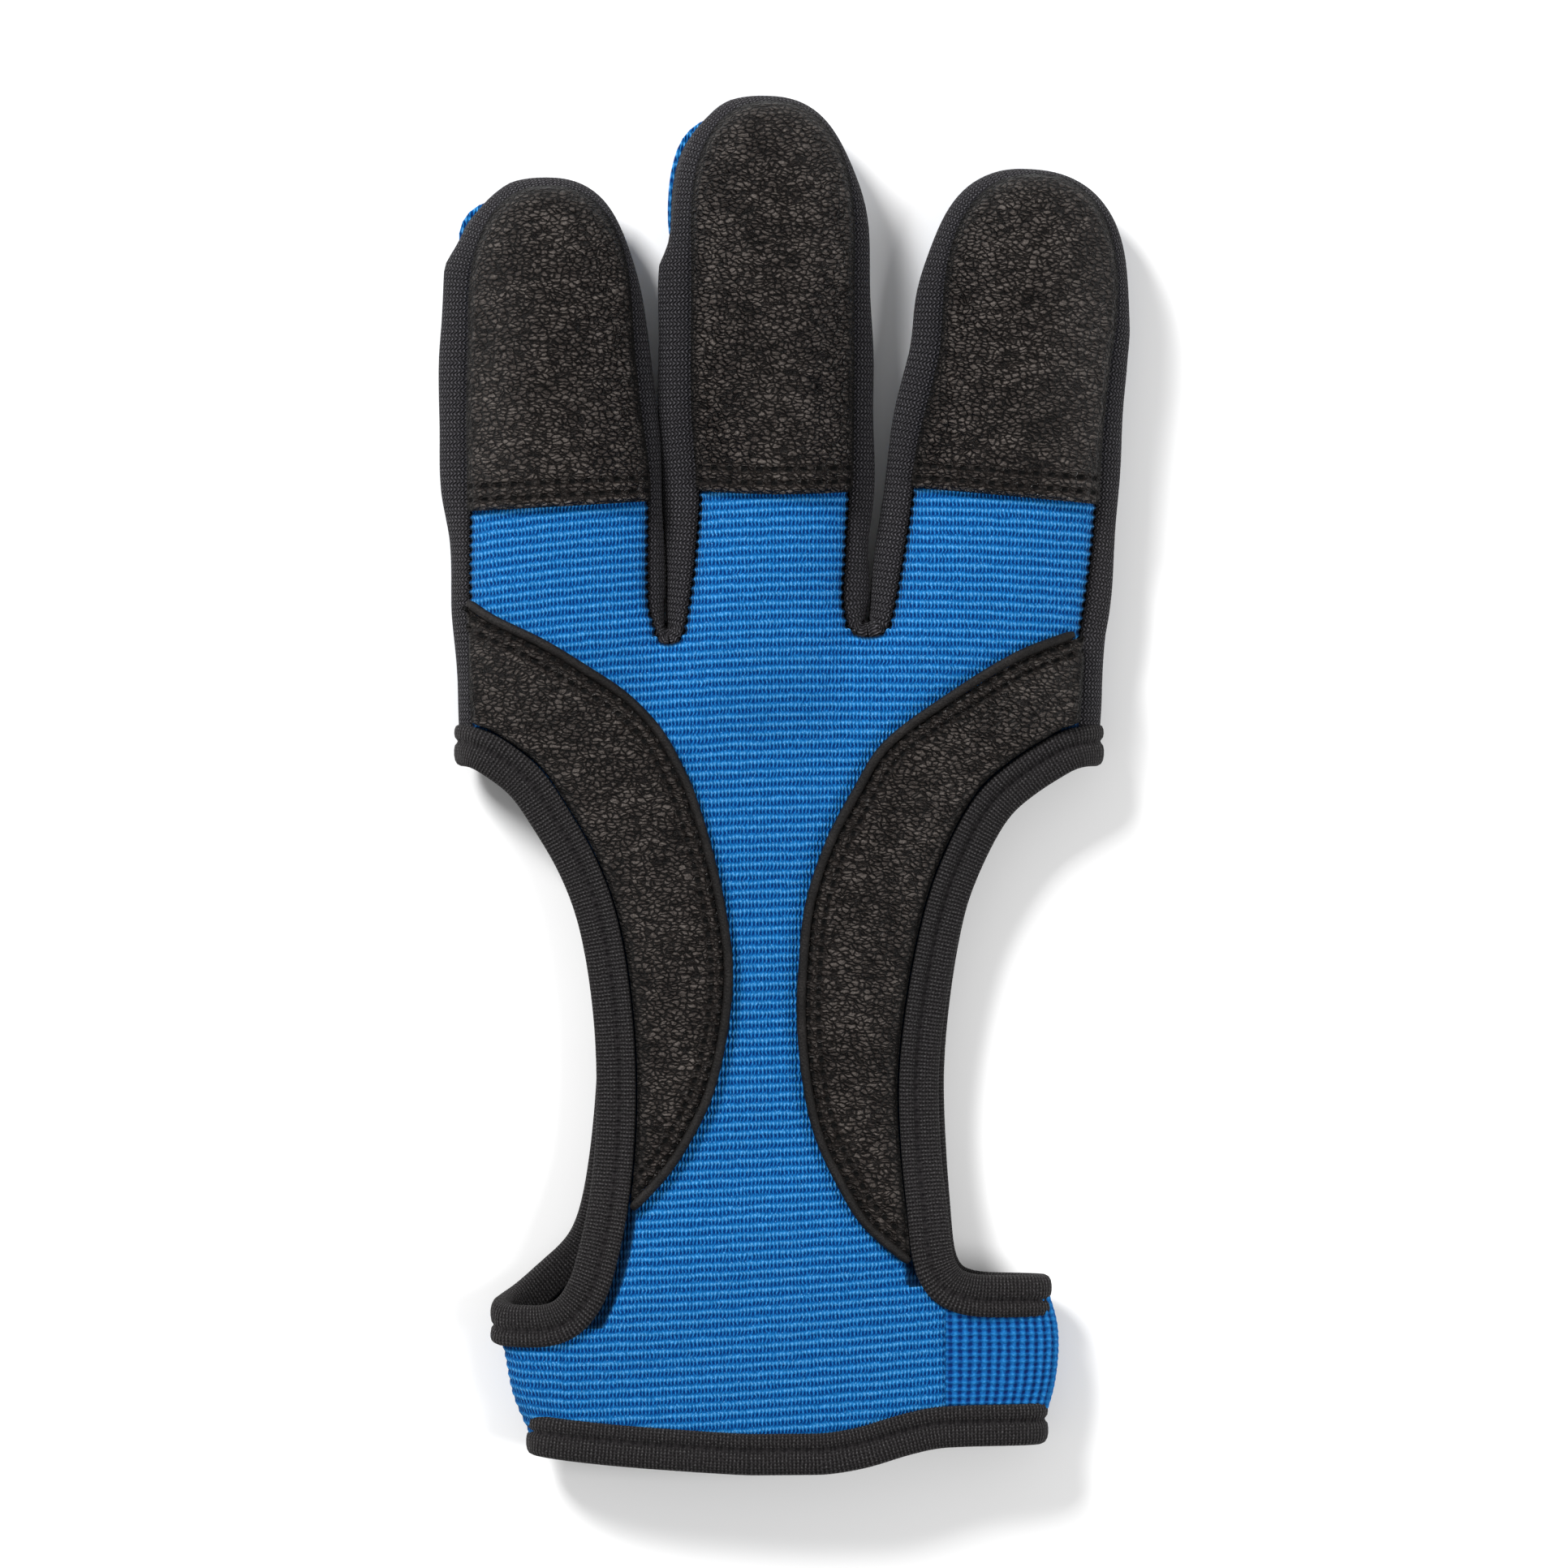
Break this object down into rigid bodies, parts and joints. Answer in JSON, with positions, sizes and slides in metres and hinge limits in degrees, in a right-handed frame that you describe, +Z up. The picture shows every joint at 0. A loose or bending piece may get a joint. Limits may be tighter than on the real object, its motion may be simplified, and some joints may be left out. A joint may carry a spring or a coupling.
{
  "type": "archery glove",
  "caption": "Shooting glove with three closed finger sleeves, leather fingertips and palm patches, open sides and an elastic wrist band, lying palm up.",
  "frame": {"origin": "middle of the glove's length and width, on the surface it lies on", "axes": "+X to the right across the palm, +Y towards the fingertips, +Z up out of the palm side"},
  "size_m": [0.1082, 0.2162, 0.0174],
  "materials": {
    "knit": "matte ribbed knit",
    "waffle": "matte waffle elastic",
    "mesh": "matte fine mesh",
    "tip_leather": "grained semi matte",
    "patch_leather": "grained semi matte",
    "piping": "smooth satin",
    "binding": "matte rib knit"
  },
  "bodies": {
    "root": {"palm_panel": "knit", "back_panel": "knit", "wrist_elastic": "waffle", "gusset_left": "mesh", "gusset_middle": "mesh", "gusset_right": "mesh", "leather_tip_left": "tip_leather", "leather_tip_middle": "tip_leather", "leather_tip_right": "tip_leather", "palm_patch_left": "patch_leather", "palm_patch_right": "patch_leather", "patch_piping_left": "piping", "patch_piping_right": "piping", "opening_binding_left": "binding", "opening_binding_right": "binding", "wrist_hem_binding": "binding"}
  },
  "joints": []
}
